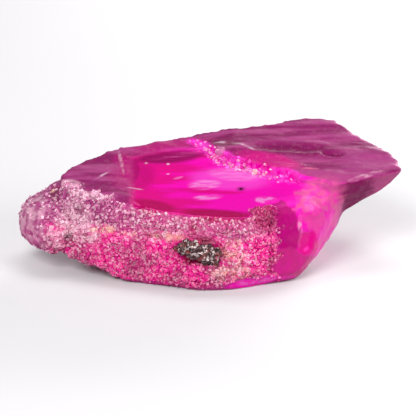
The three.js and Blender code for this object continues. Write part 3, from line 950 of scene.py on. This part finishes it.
@dataclass
class CrystalBody:
    """The crystal itself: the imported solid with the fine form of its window, ledge, facets and crust."""

    finish: SapphireFinish
    paint: CrystalPaint = CrystalPaint()
    voxel: float = 0.06
    settle: int = 3
    soften: int = 420
    weather: int = 16
    crust_end: float = 3.15
    reliefs: tuple[Relief, ...] = (
        Relief("CLOUDS", 1.4, 0.26, Zone.FROST, stretch=(2.4, 1.0, 1.0), turn=-8.0),
        Relief("CLOUDS", 0.4, 0.05, Zone.FROST, stretch=(2.4, 1.0, 1.0), turn=-8.0),
        Relief("CLOUDS", 0.3, 0.09, Zone.RISER, depth=3),
        Relief("CLOUDS", 0.3, 0.022, Zone.WINDOW, stretch=(7.0, 1.0, 1.0), turn=8.0),
        Relief("CLOUDS", 0.9, 0.1, Zone.FACET),
        Relief("CLOUDS", 0.4, 0.07, Zone.HAZE),
        Relief("CLOUDS", 0.3, 0.035, Zone.FACET),
        Relief("CLOUDS", 0.45, 0.14, Zone.REAR, depth=3),
        Relief("CLOUDS", 0.25, 0.1, Zone.KNOB, depth=3),
        Relief("VORONOI", 0.4, -0.1, Zone.KNOB),
        Relief("VORONOI", 0.3, -0.08, Zone.REAR),
        Relief("VORONOI", 0.55, -0.2, Zone.CRUST),
        Relief("VORONOI", 0.24, -0.1, Zone.CRUST),
        Relief("CLOUDS", 0.11, 0.05, Zone.CRUST),
    )
    dents: tuple[Dent, ...] = (
        Dent(-0.16, Spot((-0.53, -4.0, 1.98), (1.3, 1.0, 0.8))),
        Dent(0.14, Spot((2.45, -3.25, 3.6), (0.8, 0.6, 0.6))),
        Dent(-0.12, Spot((5.75, 1.08, 4.83), (0.7, 0.3, 0.5), -14.0)),
        Dent(-0.06, Spot((6.0, 0.95, 4.83), (0.4, 0.2, 0.5), 20.0)),
        Dent(-0.1, Spot((3.6, 1.7, 4.95), (2.2, 0.6, 0.6), -6.0)),
        Dent(0.12, Spot((0.46, 1.54, 4.8), (0.32, 0.32, 0.4))),
        Dent(-0.1, Spot((0.9, 2.05, 4.9), (0.6, 0.3, 0.4), -12.0)),
        Dent(0.12, Spot((4.85, -2.1, 3.25), (0.6, 0.6, 0.5))),
        Dent(-0.1, Spot((4.45, -2.6, 1.95), (0.5, 0.6, 0.65))),
        Dent(-0.15, Spot((-6.05, -1.85, 3.17), (0.4, 0.7, 0.3))),
        Dent(-0.15, Spot((-6.5, -2.0, 1.65), (0.5, 0.8, 0.45))),
    )
    smoothing: float = 0.5
    # The values over which a mask fades in: how far a face looks up or to the front, then millimetres.
    level: Fade = (0.45, 0.75)
    frontal: Fade = (0.15, 0.45)
    off_floor: Fade = (0.02, 0.3)
    over_top: Fade = (0.1, 0.22)
    in_dish: Fade = (-0.75, -0.55)
    step_end: Fade = (3.6, 4.6)
    step_width: Fade = (0.1, 0.32)
    knob_start: Fade = (7.2, 8.0)
    facet_start: Fade = (2.3, 2.5)
    facet_end: Fade = (6.0, 6.5)
    edge_width: Fade = (0.5, 1.3)
    border_width: Fade = (0.2, 0.6)
    edge_depth: Fade = (-1.4, -0.9)
    wing_start: Fade = (5.6, 6.2)
    # Where the zones are, in millimetres.
    patch: Spot = Spot((2.45, -3.25, 3.6), (0.85, 0.6, 0.6))
    left_rim: Spot = Spot((-6.45, -0.95, 4.0), (0.75, 0.55, 0.5), -25.0)
    rim_strip: Spot = Spot((-5.4, -1.72, 3.87), (1.5, 0.3, 0.4), -24.0)
    tip: Spot = Spot((8.3, 0.6, 4.5), (1.3, 1.8, 1.2))
    knob: Spot = Spot((-8.1, -0.2, 2.3), (1.7, 2.9, 2.2))
    ore: Spot = Spot((-0.53, -4.0, 1.98), (1.35, 1.0, 0.8))
    # How pale the grains are: everywhere, more so high up, and more or less so in some places.
    pale_ground: float = 0.5
    pale_upper: float = 0.32
    upper: Fade = (2.2, 2.8)
    paler: tuple[tuple[float, Spot], ...] = (
        (0.4, Spot((-6.2, -1.9, 2.6), (1.8, 1.8, 1.8))),
        (0.35, Spot((1.1, -3.9, 1.4), (1.3, 1.0, 1.2))),
    )
    deeper: tuple[tuple[float, Spot], ...] = (
        (0.9, Spot((-0.6, -3.9, 2.1), (1.7, 1.0, 1.1))),
        (1.0, Spot((2.6, -3.2, 3.3), (1.2, 1.0, 1.1))),
    )
    pale_riser: float = 0.45
    piece: bpy.types.Object = field(init=False)

    def build(self) -> bpy.types.Object:
        """Makes the crystal's mesh.

        Returns:
            The piece, at one unit to the millimetre.
        """
        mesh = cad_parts[NODE].data.copy()
        mesh.materials.clear()
        self.piece = bpy.data.objects.new("sapphire", mesh)
        bpy.context.collection.objects.link(self.piece)
        scaled(self.piece, PER_METRE)
        bpy.ops.object.mode_set(mode="EDIT")
        bpy.ops.mesh.select_all(action="SELECT")
        bpy.ops.mesh.remove_doubles(threshold=0.001)
        bpy.ops.object.mode_set(mode="OBJECT")
        modify(self.piece, "REMESH", mode="VOXEL", voxel_size=self.voxel)
        modify(self.piece, "SMOOTH", factor=self.smoothing, iterations=self.settle)
        self.mark_zones()
        modify(
            self.piece,
            "SMOOTH",
            factor=self.smoothing,
            iterations=self.weather,
            vertex_group=Zone.CRUST.value,
            invert_vertex_group=True,
        )
        modify(self.piece, "SMOOTH", factor=self.smoothing, iterations=self.soften, vertex_group=Zone.SOFT.value)
        for dent in self.dents:
            dent.press(self.piece)
        for relief in self.reliefs:
            relief.press(self.piece)
        only(self.piece)
        bpy.ops.object.shade_smooth()
        return self.piece

    def zones(self) -> dict[Zone, Values]:
        """Works out each zone's mask from where the mesh's vertices are and where they face.

        Returns:
            For each zone, one value from 0 to 1 for each vertex.
        """
        places = coordinates(self.piece.data)
        facing = vertex_normals(self.piece.data)
        x, y, z = places.T
        plan = places[:, :2]
        wander = mottle(places, (0.5, 0.5, 0.5), 2) - 0.5
        above_top = z - TOP_HEIGHT - TOP_RISE * y
        upward = ramp(facing[:, 2], *self.level)
        forward = ramp(-facing[:, 1], *self.frontal)
        off_floor = ramp(z, *self.off_floor)
        low = 1.0 - ramp(above_top, *self.over_top)
        high = ramp(above_top, *self.in_dish)
        outline = WINDOW_BACK + STEP_LINE[1:] + WINDOW_FRONT
        window = inside(plan, outline, 0.5) * upward * low * high
        step = distance_to_line(plan, STEP_LINE)
        fading = 1.0 - ramp(x, *self.step_end)
        riser = (1.0 - ramp(step, *self.step_width)) * high * fading
        patch = self.patch.cover(places + 0.4 * wander[:, None])
        crust = forward * (1.0 - inside(plan, outline, 0.2) * ramp(facing[:, 2], 0.3, 0.6))
        crust = crust * (1.0 - ramp(above_top, -0.08, 0.06))
        crust = crust * (1.0 - ramp(x + 1.2 * wander, self.crust_end - 0.2, self.crust_end + 0.1))
        rim = self.left_rim.cover(places + 0.3 * wander[:, None])
        rim = rim + self.rim_strip.cover(places + 0.5 * wander[:, None])
        sliver = SLIVER.cover(places + 0.3 * wander[:, None])
        crust = crust * (1.0 - ramp(sliver, 0.2, 0.5))
        crust = np.clip(crust * (1.0 - ramp(-x, *self.knob_start)) + patch * (x < 3.4) + rim, 0, 1)
        window = window * (1.0 - crust)
        facet = ramp(x, *self.facet_start) * (1.0 - upward) * ramp(facing[:, 0] - facing[:, 1], 0.1, 0.5)
        facet = facet * (1.0 - ramp(x, *self.facet_end)) * (1.0 - crust)
        edges = np.minimum(distance_to_line(plan, FACET_TOP), step + 2.0 * fading)
        border = np.minimum(distance_to_line(plan, WINDOW_LEFT), distance_to_line(plan, WINDOW_BACK))
        haze = (1.0 - ramp(edges, *self.edge_width)) * ramp(above_top, *self.edge_depth) * (1.0 - crust)
        soft = np.maximum(haze, (1.0 - ramp(border, *self.border_width)) * ramp(above_top, *self.edge_depth))
        soft = np.maximum(soft, 0.1 * self.tip.cover(places))
        frost = np.clip(1.0 - window - facet - crust, 0, 1)
        # The wing's underside, facing down, where the paint puts shade.
        shade = ramp(-facing[:, 2], 0.05, 0.35) * ramp(x, *self.wing_start)
        rear = ramp(np.maximum(facing[:, 1], -facing[:, 2]), 0.1, 0.4) * frost * (1.0 - shade)
        masks = {
            Zone.WINDOW: window,
            Zone.FACET: facet,
            Zone.CRUST: crust,
            Zone.FROST: frost,
            Zone.RISER: riser,
            Zone.ORE: self.ore.cover(places),
            Zone.SOFT: soft,
            Zone.BLOOM: np.maximum(self.paleness(places), self.pale_riser * riser),
            Zone.SHADE: shade,
            Zone.LEVEL: upward,
            Zone.REAR: rear,
            Zone.HAZE: haze,
            Zone.KNOB: self.knob.cover(places) * frost,
        }
        return {zone: np.clip(values, 0, 1) * off_floor for zone, values in masks.items()}

    def paleness(self, places: Values) -> Values:
        """Works out how pale the crust's grains are.

        Args:
            places: Where the grains are, in millimetres.

        Returns:
            One value for each place.
        """
        pale = self.pale_ground + self.pale_upper * ramp(places[:, 2], *self.upper)
        for share, spot in self.paler:
            pale = pale + share * spot.cover(places)
        for share, spot in self.deeper:
            pale = pale * (1.0 - share * spot.cover(places))
        return pale

    def mark_zones(self) -> None:
        """Keeps each zone on the mesh, as an attribute for materials and a vertex group for relief."""
        zones = self.zones()
        for zone, values in zones.items():
            attribute = self.piece.data.attributes.new(zone.value, "FLOAT", "POINT")
            attribute.data.foreach_set("value", values.astype(np.float32))
            keep_group(self.piece, zone.value, values)
        self.paint.apply(self.piece.data, zones)

    def dress(self) -> None:
        """Brings the finished crystal to metres, in its finish, in place of its solid."""
        self.piece.vertex_groups.clear()
        self.piece.data.materials.append(self.finish.material())
        scaled(self.piece, MM)
        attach(self.piece, BODY)
        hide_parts(NODE)


@dataclass
class SugarCrust:
    """The small grains that cover the crystal's front and its step, grown onto it."""

    finish: SugarFinish
    density: float = 130.0
    size: tuple[float, float] = (0.02, 0.075)
    riser_share: float = 0.11
    knob_share: float = 0.06
    clump: float = 0.7
    off_floor: Fade = (0.12, 0.25)
    seed: int = 7
    piece: bpy.types.Object = field(init=False)

    def build(self, crystal: bpy.types.Object) -> bpy.types.Object:
        """Sows the grains over the crystal's crust.

        Args:
            crystal: The crystal, still at one unit to the millimetre.

        Returns:
            The grains, joined in one piece.
        """
        self.piece = crystal.copy()
        self.piece.data = crystal.data.copy()
        self.piece.name = "sugar_grains"
        bpy.context.collection.objects.link(self.piece)
        only(self.piece)
        modifier = self.piece.modifiers.new("grains", "NODES")
        modifier.node_group = self.sowing()
        bpy.ops.object.modifier_apply(modifier=modifier.name)
        bpy.ops.object.shade_flat()
        return self.piece

    def thickness(self, nodes: Nodes) -> bpy.types.NodeSocket:
        """Adds how thickly the grains are sown.

        Args:
            nodes: The sowing's nodes.

        Returns:
            The socket with the number of grains to the square millimetre.
        """

        def zone(member: Zone) -> bpy.types.NodeSocket:
            node = nodes.add("GeometryNodeInputNamedAttribute", {"Name": member.value})
            return node.outputs["Attribute"]

        sugary = nodes.math("ADD", zone(Zone.CRUST), nodes.math("MULTIPLY", zone(Zone.RISER), self.riser_share))
        sugary = nodes.math("ADD", sugary, nodes.math("MULTIPLY", zone(Zone.KNOB), self.knob_share))
        bare = nodes.math("SUBTRACT", sugary, zone(Zone.ORE))
        place = nodes.add("GeometryNodeInputPosition").outputs["Position"]
        clumps = nodes.math("ADD", nodes.band(nodes.noise(place, self.clump), 0.3, 0.6), 0.45)
        height = nodes.add("ShaderNodeSeparateXYZ", {"Vector": place}).outputs["Z"]
        clumped = nodes.math("MULTIPLY", nodes.math("MULTIPLY", bare, clumps), nodes.band(height, *self.off_floor))
        return nodes.add("ShaderNodeMath", {0: clumped, 1: self.density}, operation="MULTIPLY").outputs[0]

    def sowing(self) -> bpy.types.NodeTree:
        """Builds the node tree that sows one turned, stretched grain at each point.

        Returns:
            The geometry node tree.
        """
        tree = bpy.data.node_groups.new("sow_grains", "GeometryNodeTree")
        tree.interface.new_socket("Geometry", in_out="INPUT", socket_type="NodeSocketGeometry")
        tree.interface.new_socket("Geometry", in_out="OUTPUT", socket_type="NodeSocketGeometry")
        nodes = Nodes(tree)
        surface = nodes.add("NodeGroupInput").outputs[0]
        sown = nodes.add(
            "GeometryNodeDistributePointsOnFaces",
            {"Mesh": surface, "Density": self.thickness(nodes), "Seed": self.seed},
        )
        grain = nodes.add("GeometryNodeMeshCube", {"Size": (2.0, 2.0, 2.0)})
        turn = nodes.add("FunctionNodeRandomValue", data_type="FLOAT_VECTOR")
        turn.inputs["Max"].default_value = (math.tau, math.tau, math.tau)
        turn.inputs["Seed"].default_value = self.seed + 1
        smallest, largest = self.size
        size = nodes.add("FunctionNodeRandomValue", data_type="FLOAT_VECTOR")
        size.inputs["Min"].default_value = (smallest, smallest, smallest)
        size.inputs["Max"].default_value = (largest, largest, largest)
        size.inputs["Seed"].default_value = self.seed + 2
        placed = nodes.add(
            "GeometryNodeInstanceOnPoints",
            {
                "Points": sown.outputs["Points"],
                "Instance": grain.outputs["Mesh"],
                "Rotation": turn.outputs["Value"],
                "Scale": size.outputs["Value"],
            },
        )
        shade = nodes.add("FunctionNodeRandomValue", data_type="FLOAT")
        shade.inputs["Seed"].default_value = self.seed + 3
        kept = nodes.add("GeometryNodeStoreNamedAttribute", data_type="FLOAT", domain="INSTANCE")
        nodes.feed(kept.inputs["Geometry"], placed.outputs["Instances"])
        nodes.feed(kept.inputs["Name"], self.finish.shade)
        nodes.feed(kept.inputs["Value"], shade.outputs[1])
        real = nodes.add("GeometryNodeRealizeInstances", {"Geometry": kept.outputs["Geometry"]})
        nodes.add("NodeGroupOutput", {0: real.outputs["Geometry"]})
        return tree

    def dress(self) -> None:
        """Brings the grains to metres, in their finish, on the crystal's body."""
        self.piece.data.materials.clear()
        self.piece.data.materials.append(self.finish.material())
        scaled(self.piece, MM)
        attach(self.piece, BODY)


@dataclass
class DarkGrain:
    """The knobbly dark mineral grain in the crystal's front."""

    finish: OreFinish
    cores: tuple[Spot, ...] = (
        Spot((-0.97, -3.88, 2.08), (0.62, 0.3, 0.36)),
        Spot((-0.45, -3.9, 1.95), (0.6, 0.3, 0.34)),
        Spot((0.06, -3.88, 1.74), (0.56, 0.3, 0.42)),
    )
    knobs: int = 18
    size: tuple[float, float] = (0.1, 0.19)
    voxel: float = 0.028
    seed: int = 5
    piece: bpy.types.Object = field(init=False)

    def build(self) -> bpy.types.Object:
        """Grows the grain out of a core and many small knobs.

        Returns:
            The piece, at one unit to the millimetre.
        """
        random = np.random.default_rng(self.seed)
        lumps = []
        for core in self.cores:
            lumps.append(self.lump(core.center, 1.0, core.radii))
            for _ in range(self.knobs):
                facing = random.normal(size=3)
                facing[1] = -abs(facing[1])
                place = np.add(core.center, facing / np.linalg.norm(facing) * np.array(core.radii))
                lumps.append(self.lump(tuple(place), random.uniform(*self.size)))
        only(*lumps)
        bpy.ops.object.join()
        self.piece = bpy.context.object
        self.piece.name = "dark_grain"
        bpy.ops.object.transform_apply(location=True, rotation=True, scale=True)
        modify(self.piece, "REMESH", mode="VOXEL", voxel_size=self.voxel)
        for relief in (Relief("VORONOI", 0.17, -0.1), Relief("CLOUDS", 0.07, 0.05)):
            relief.press(self.piece)
        return self.piece

    def lump(self, place: Point3, radius: float, scale: Point3 = (1.0, 1.0, 1.0)) -> bpy.types.Object:
        """Adds one rounded lump.

        Args:
            place: Its middle.
            radius: Its radius.
            scale: How much it is stretched along each axis.

        Returns:
            The lump.
        """
        bpy.ops.object.select_all(action="DESELECT")
        bpy.ops.mesh.primitive_ico_sphere_add(subdivisions=3, radius=radius, location=place, scale=scale)
        return bpy.context.object

    def dress(self) -> None:
        """Brings the grain to metres, in its finish, on the crystal's body."""
        self.piece.data.materials.append(self.finish.material())
        only(self.piece)
        bpy.ops.object.shade_smooth()
        scaled(self.piece, MM)
        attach(self.piece, BODY)


@dataclass(frozen=True)
class Softbox:
    """One soft studio light.

    Attributes:
        name: The light's name.
        azimuth: Where it stands around the crystal, in degrees: 0 is behind the camera, 90 to the right.
        elevation: How high it stands, in degrees.
        distance: How far away it stands, in millimetres.
        size: Its width and height, in millimetres.
        power: Its power in watts.
    """

    name: str
    azimuth: float
    elevation: float
    distance: float
    size: Point2
    power: float

    def place(self, target: Vector) -> None:
        """Sets the light up, turned towards a target."""
        turn, rise = math.radians(self.azimuth), math.radians(self.elevation)
        towards = Vector((math.sin(turn) * math.cos(rise), -math.cos(turn) * math.cos(rise), math.sin(rise)))
        light = bpy.data.lights.new(self.name, "AREA")
        light.shape = "RECTANGLE"
        light.size, light.size_y = (side * MM for side in self.size)
        light.energy = self.power
        holder = bpy.data.objects.new(self.name, light)
        holder.location = target + towards * self.distance * MM
        holder.rotation_euler = (-towards).to_track_quat("-Z", "Y").to_euler()
        bpy.context.collection.objects.link(holder)


@dataclass(frozen=True)
class Studio:
    """The pale floor, the soft lights and the camera."""

    target: Point3 = (-0.106, -0.13, 2.58)
    elevation: float = 22.0
    distance: float = 200.0
    field: float = 19.5
    sensor: float = 36.0
    floor_size: float = 900.0
    floor_colour: Colour = (0.5, 0.49, 0.5, 1.0)
    ambient: Colour = (0.9, 0.92, 1.0, 1.0)
    ambient_strength: float = 0.12
    lights: tuple[Softbox, ...] = (
        Softbox("key", -28.0, 42.0, 120.0, (60.0, 60.0), 0.17),
        Softbox("top", 175.0, 74.0, 120.0, (80.0, 50.0), 0.08),
        Softbox("low_back", 150.0, 12.0, 90.0, (70.0, 26.0), 0.12),
        Softbox("right", 65.0, 26.0, 90.0, (40.0, 40.0), 0.07),
    )

    def set_up(self) -> None:
        """Builds the floor, the world, the lights and the camera."""
        self.lay_floor()
        self.light_world()
        target = Vector(self.target) * MM
        for softbox in self.lights:
            softbox.place(target)
        self.aim_camera(target)
        bpy.context.scene.view_settings.view_transform = "Standard"

    def lay_floor(self) -> None:
        """Lays the pale floor that the crystal rests on."""
        bpy.ops.object.select_all(action="DESELECT")
        bpy.ops.mesh.primitive_plane_add(size=self.floor_size * MM)
        floor = bpy.context.object
        floor.name = "floor"
        material, _, surface, _ = new_material("floor")
        surface.inputs["Base Color"].default_value = self.floor_colour
        surface.inputs["Roughness"].default_value = 0.8
        floor.data.materials.append(material)

    def light_world(self) -> None:
        """Fills the room with a little even light."""
        world = bpy.data.worlds.new("studio")
        world.use_nodes = True
        background = world.node_tree.nodes["Background"]
        background.inputs["Color"].default_value = self.ambient
        background.inputs["Strength"].default_value = self.ambient_strength
        bpy.context.scene.world = world

    def aim_camera(self, target: Vector) -> None:
        """Points a long lens at the crystal from the front."""
        rise = math.radians(self.elevation)
        away = Vector((0.0, -math.cos(rise), math.sin(rise)))
        camera = bpy.data.cameras.new("camera")
        camera.sensor_width = self.sensor
        camera.lens = self.sensor * self.distance / self.field
        camera.clip_start = MM
        camera.clip_end = 10.0
        holder = bpy.data.objects.new("camera", camera)
        holder.location = target + away * self.distance * MM
        holder.rotation_euler = (-away).to_track_quat("-Z", "Y").to_euler()
        bpy.context.collection.objects.link(holder)
        bpy.context.scene.camera = holder


def report(piece: bpy.types.Object) -> None:
    """Logs a finished piece and its number of faces."""
    LOG.info("%s: %d faces", piece.name, len(piece.data.polygons))


def main() -> None:
    """Builds the crystal, its grains and its studio."""
    logging.basicConfig(level=logging.INFO)
    body = CrystalBody(SapphireFinish())
    crust = SugarCrust(SugarFinish())
    ore = DarkGrain(OreFinish())
    crystal = body.build()
    crust.build(crystal)
    ore.build()
    for part in (body, crust, ore):
        part.dress()
        report(part.piece)
    Studio().set_up()


if __name__ == "__main__":
    main()
